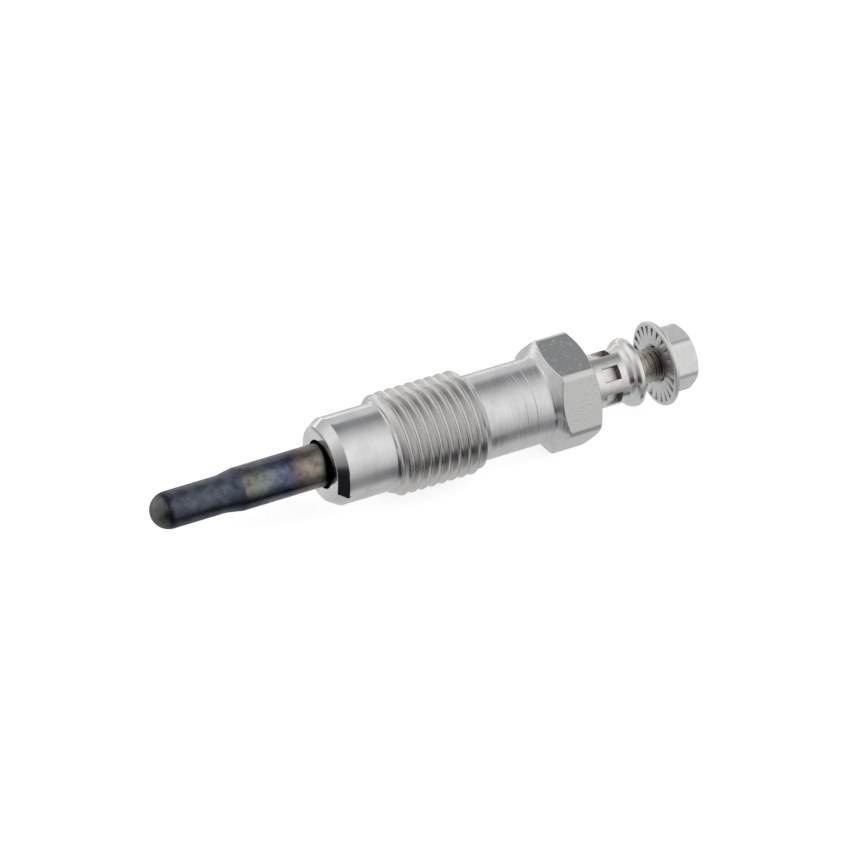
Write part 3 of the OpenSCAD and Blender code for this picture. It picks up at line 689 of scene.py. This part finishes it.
def slotAt(r, depth=1.0):
    # six columns to a slot: lip, foot of the steep wall, two on the ramp, its end and one on the land
    reach = min(1, max(0.03, (r - nut["slotInR"]) / (nut["slotOutR"] - nut["slotInR"])))
    ramp = nut["slotWide"] * reach / r
    columns = [(-0.02 / r, 0), (0, 1), (ramp / 3, 2 / 3), (ramp * 2 / 3, 1 / 3), (ramp, 0), ((ramp + slotPitch) / 2, 0)]

    def place(turn):
        steps = (turn - slotStart) % fullTurn / slotPitch
        slot = math.floor(steps + 1e-3)
        aside, share = columns[round((steps - slot) * 6) % 6]
        return nut["flangeX"] + share * depth * reach * nut["slotDeep"], r, slotStart + slot * slotPitch + aside
    return place


bm = bmesh.new()
turn = bm.verts.layers.float.new("turn")
seed = bm.verts.new((nut["flangeX"] + nut["sink"], nut["holeR"] * math.cos(slotStart),
                     nut["holeR"] * math.sin(slotStart)))
bmesh.ops.spin(bm, geom=[seed], cent=(0, 0, 0), axis=(1, 0, 0), dvec=(0, 0, 0), angle=fullTurn, steps=nut["columns"],
               use_merge=True, use_duplicate=False)
for vert in bm.verts:
    vert[turn] = math.atan2(vert.co.z, vert.co.y)
ring = growRing(bm, bm.edges[:], roundAt(nut["flangeX"], nut["holeR"] + nut["sink"]))
for r in (nut["slotInR"], *nut["slotRings"], nut["slotOutR"]):
    ring = growRing(bm, ring, slotAt(r))
ring = growRing(bm, ring, slotAt(nut["slotOutR"] + 0.02, 0))
# the faces in the slots take the darker zinc, painted shade
for face in bm.faces:
    middle = face.calc_center_median()
    if middle.x > nut["flangeX"] + 0.005 and math.hypot(middle.y, middle.z) > nut["slotInR"]:
        face.material_index = 1
frontEdge = growRing(bm, ring, roundAt(nut["flangeX"], nut["flangeR"]))
backEdge = growRing(bm, frontEdge, roundAt(nut["flangeX"] + nut["edgeT"], nut["flangeR"]))
ring = growRing(bm, backEdge, roundAt(nut["riseX"], nut["riseR"]))
nutFlat = math.radians(nut["hexTurn"])
nutCore = nut["hexHalf"] - nut["cornerRound"]
nutCorner = math.atan(nutCore * math.tan(math.radians(30)) / nut["hexHalf"])  # where a flat runs into its round corner
nutSlope = math.tan(math.radians(nut["chamfer"]))


def softHex(local):
    if local <= nutCorner:
        return nut["hexHalf"] / math.cos(local)
    toward = nutCore * (math.cos(local) + math.tan(math.radians(30)) * math.sin(local))
    return toward + math.sqrt(toward ** 2 - (nutCore / math.cos(math.radians(30))) ** 2 + nut["cornerRound"] ** 2)


def nutSide(turn, x=None):
    # the columns are first turned to start at a flat, by less than one column
    lead = (nutFlat - slotStart) % columnStep
    angle = spreadColumns(turn + lead, nutFlat, 6 * columnStep, nutCorner)
    r = softHex(abs(sectorAngle(angle, nutFlat)))
    return (nut["endX"] - (r - nut["endR"]) * nutSlope if x is None else x), r, angle


nutFoot = growRing(bm, ring, lambda turn: nutSide(turn, nut["riseX"] + nut["footRise"]))
nutTop = growRing(bm, nutFoot, nutSide)
ring = nutEnd = growRing(bm, nutTop, roundAt(nut["endX"], nut["endR"]))
for x, r in ((nut["endX"], nut["holeR"] + nut["sink"]), (nut["endX"] - nut["sink"], nut["holeR"]),
             (nut["flangeX"] + nut["sink"], nut["holeR"])):
    ring = growRing(bm, ring, roundAt(x, r))
for edges, offset in ((frontEdge, nut["flangeRound"]), (backEdge, nut["backRound"]), (nutFoot, nut["footRound"]),
                      (nutTop, nut["topRound"]), (nutEnd, nut["endRound"])):
    soften(bm, edges, offset, 4)
toothedFlangeNut = settle(bm, "toothedFlangeNut", [zincSoft, slotZinc], 35)
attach(toothedFlangeNut, "root")
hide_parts("flange_nut")


def seenRays(tree):
    # 1 for rays from the lens, straight, mirrored or through something clear, and 0 for the light of the set
    seen = addNode(tree, "LightPath")
    seenGlossy = addNode(tree, "Math", operation="MAXIMUM",
                         links={0: seen.outputs["Is Camera Ray"], 1: seen.outputs["Is Glossy Ray"]})
    return addNode(tree, "Math", operation="MAXIMUM", links={0: seenGlossy, 1: seen.outputs["Is Transmission Ray"]})


# Floor: pale paper under the plug, white to the lens and in reflections, with a soft shadow
sheet = {"tone": "#e6e6e6", "lift": 0.66, "half": 4}
paper, tree, shader, where = startMaterial("palePaper", Roughness=0.9)
shader.inputs["Base Color"].default_value = hexColour(sheet["tone"])
seenAny = seenRays(tree)
lift = addNode(tree, "Math", links={0: seenAny}, values={1: sheet["lift"]}, operation="MULTIPLY")
shader.inputs["Emission Color"].default_value = (1, 1, 1, 1)
join(tree, shader, {"Emission Strength": lift})
bm = bmesh.new()
bmesh.ops.create_grid(bm, x_segments=1, y_segments=1, size=sheet["half"])
floor = linkMesh(bm, "floor", [paper])


def glowBoard(name, card):
    # a lit card whose level runs along Y
    board, tree = blankMaterial(name)
    axes = addNode(tree, "SeparateXYZ", links={"Vector": addNode(tree, "TexCoord").outputs["Object"]})
    depth = addNode(tree, "MapRange", links={"Value": axes.outputs["Y"]},
                    values={"From Min": card["span"][0] * mm, "From Max": card["span"][1] * mm})
    levels = addNode(tree, "ValToRGB", links={"Fac": depth}, stops=card["stops"])
    glow = addNode(tree, "Emission", links={"Color": levels}, values={"Strength": 1.0})
    addNode(tree, "OutputMaterial", links={"Surface": glow})
    return board


# Light tent: a lit arch along the plug, bright behind and over the terminal, dark towards the lens on the tip's side
tent = {
    "radius": 0.9, "half": 1.4, "tipSide": -0.15, "terminalSide": 0.25,
    "overTip": [(0.0, "#d4d4d4"), (0.12, "#dedede"), (0.24, "#fafafa"), (0.37, "#fcfcfc"), (0.48, "#ebebeb"),
                (0.6, "#cbcbcb"), (0.72, "#a8a8a8"), (0.84, "#898989"), (0.92, "#38393d"), (1.0, "#191a1e")],
    "overTerminal": [(0.0, "#d6d6d6"), (0.1, "#dcdcdc"), (0.17, "#e2e2e2"), (0.21, "#94979a"), (0.31, "#8d9093"),
                     (0.37, "#b0b0b1"), (0.43, "#cbcbcb"), (0.5, "#e3e3e2"), (0.56, "#f3f3f2"), (0.65, "#fdfdfc"),
                     (0.72, "#ffffff"), (0.8, "#f9f9f9"), (0.9, "#ececec"), (1.0, "#d4d4d4")],
    "beyondTip": {"span": (-900, 900), "stops": [(0.0, "#c4c4c6"), (1.0, "#dcdcdc")]},
}
tentCloth, tree = blankMaterial("tentCloth")
where = addNode(tree, "TexCoord").outputs["Object"]
axes = addNode(tree, "SeparateXYZ", links={"Vector": where})
around = addNode(tree, "Math", links={0: axes.outputs["Z"], 1: axes.outputs["Y"]}, operation="ARCTAN2")
share = addNode(tree, "Math", links={0: around}, values={1: math.pi}, operation="DIVIDE")
tipLevels = addNode(tree, "ValToRGB", links={"Fac": share}, stops=tent["overTip"])
terminalLevels = addNode(tree, "ValToRGB", links={"Fac": share}, stops=tent["overTerminal"])
blend = addNode(tree, "MapRange", links={"Value": axes.outputs["X"]},
                values={"From Min": tent["tipSide"], "From Max": tent["terminalSide"]})
levels = addNode(tree, "Mix", links={0: blend, 6: tipLevels, 7: terminalLevels}, data_type="RGBA")
glow = addNode(tree, "Emission", links={"Color": levels.outputs[2]}, values={"Strength": 1.0})
addNode(tree, "OutputMaterial", links={"Surface": glow})
bm = bmesh.new()
ends = [bm.verts.new((x, tent["radius"], 0)) for x in (-tent["half"], tent["half"])]
edge = bm.edges.new(ends)
bmesh.ops.spin(bm, geom=ends + [edge], cent=(0, 0, 0), axis=(1, 0, 0), dvec=(0, 0, 0), angle=math.pi, steps=48,
               use_merge=False, use_duplicate=False)
endArc = [e for e in bm.edges if all(v.co.x < 0 for v in e.verts)]
for face in bmesh.ops.contextual_create(bm, geom=endArc)["faces"]:
    face.material_index = 1  # the grey end beyond the tip
lightTent = linkMesh(bm, "lightTent", [tentCloth, glowBoard("tentEnd", tent["beyondTip"])])
lightTent.visible_camera = False
lightTent.visible_shadow = False

# Cards that lie on the floor, seen only in the metal, where they draw its dark lines
cards = {
    "cardByTube": {"corners": [(-900, -890, 0.05), (-10.5, -890, 0.05), (-10.5, -6.8, 0.05), (-900, -6.8, 0.05)],
                   "span": (-890, -6.8), "stops": [(0.0, "#8a8b8e"), (1.0, "#98999b")]},
    "cardBySeat": {"corners": [(-835, -700, 0.1), (-378, -700, 0.1), (-9.5, -6.4, 0.1), (-24, -6.4, 0.1)],
                   "span": (-700, -6.4), "stops": [(0.0, "#1b1c22"), (1.0, "#1a1b22")]},
    "cardBeyond": {"corners": [(-10.5, -890, 0.05), (890, -890, 0.05), (890, -60, 0.05), (-10.5, -60, 0.05)],
                   "span": (-890, -60), "stops": [(0.0, "#d4d4d4"), (1.0, "#c2c2c2")]},
    "cardByBody": {"corners": [(-10.5, -60, 0.05), (95, -60, 0.05), (95, -8.5, 0.05), (-10.5, -8.5, 0.05)],
                   "span": (-60, -8.5),
                   "stops": [(0.0, "#c2c2c2"), (0.4, "#b4b4b5"), (0.6, "#a4a4a6"), (0.83, "#929395"),
                             (0.93, "#9d9e9f"), (0.98, "#bfbfbf"), (1.0, "#cacaca")]},
    # the cards under the tube, nose and body stand in for the floor in the plug's shade as the metal sees it: painted
    # shade
    "cardUnderTube": {"corners": [(-60, -6.8, 0.04), (-18.5, -6.8, 0.04), (-18.5, 60, 0.04), (-60, 60, 0.04)],
                      "span": (-6.8, 60), "stops": [(0.0, "#a8a8aa"), (0.3, "#b6b6b7"), (1.0, "#ececec")]},
    "cardUnderNose": {"corners": [(-18.5, -6.8, 0.04), (-11, -6.8, 0.04), (-11, 60, 0.04), (-18.5, 60, 0.04)],
                      "span": (-6.8, 60),
                      "stops": [(0.0, "#cccccc"), (0.08, "#d2d2d2"), (0.13, "#e0e0e0"), (1.0, "#ececec")]},
    "cardUnderBody": {"corners": [(-11, -8.5, 0.04), (95, -8.5, 0.04), (95, 60, 0.04), (-11, 60, 0.04)],
                      "span": (-8.5, 60), "stops": [(0.0, "#cecece"), (0.5, "#d2d2d2"), (1.0, "#ececec")]},
    "cardByThread": {"corners": [(6.8, -34, 0.07), (18.6, -34, 0.07), (7.6, -6, 0.07), (-4.2, -6, 0.07)],
                     "span": (-34, -6),
                     "stops": [(0.0, "#9a9a9c"), (0.18, "#464748"), (0.5, "#1e1f21"), (0.68, "#222325"),
                               (0.79, "#4a4b4c"), (0.88, "#969697"), (1.0, "#b8b8b8")]},
    "cardUnderRim": {"corners": [(25.2, -12, 0.07), (29.5, -12, 0.07), (29.5, -7, 0.07), (25.2, -7, 0.07)],
                     "span": (-12, -7),
                     "stops": [(0.0, "#9c9d9f"), (0.35, "#4a4b50"), (0.6, "#4e4f54"), (1.0, "#a8a9ab")]},
}
for name, card in cards.items():
    board = glowBoard(name, card)
    bm = bmesh.new()
    bm.faces.new([bm.verts.new(Vector(corner) * mm) for corner in card["corners"]])
    laid = linkMesh(bm, name, [board])
    laid.visible_camera = False
    laid.visible_diffuse = False
    laid.visible_shadow = False

# World: white wherever the lens or the metal sees past the set
world = bpy.data.worlds.new("studio")
bpy.context.scene.world = world
world.use_nodes = True
tree = world.node_tree
tree.nodes.clear()
seenAny = seenRays(tree)
level = addNode(tree, "MapRange", links={"Value": seenAny}, values={"To Min": 0.5, "To Max": 1.0})
backing = addNode(tree, "Background", links={"Strength": level}, values={"Color": (1, 1, 1, 1)})
addNode(tree, "OutputWorld", links={"Surface": backing})

# Camera: a long lens from the tip's side, turned a little about its own axis
lens = {"right": (0.8820, -0.4616, 0.0950), "up": (0.2646, 0.6519, 0.7107), "back": (-0.3900, -0.6017, 0.6971),
        "place": (-233.4, -360.2, 424.6), "focal": 225.8, "sensor": 36, "near": 0.05}
cameraData = bpy.data.cameras.new("camera")
cameraData.lens = lens["focal"]
cameraData.sensor_width = lens["sensor"]
cameraData.clip_start = lens["near"]
camera = bpy.data.objects.new("camera", cameraData)
bpy.context.scene.collection.objects.link(camera)
turned = Matrix((lens["right"], lens["up"], lens["back"])).transposed().to_4x4()
camera.matrix_world = Matrix.Translation(Vector(lens["place"]) * mm) @ turned
bpy.context.scene.camera = camera
bpy.context.scene.view_settings.view_transform = "Standard"
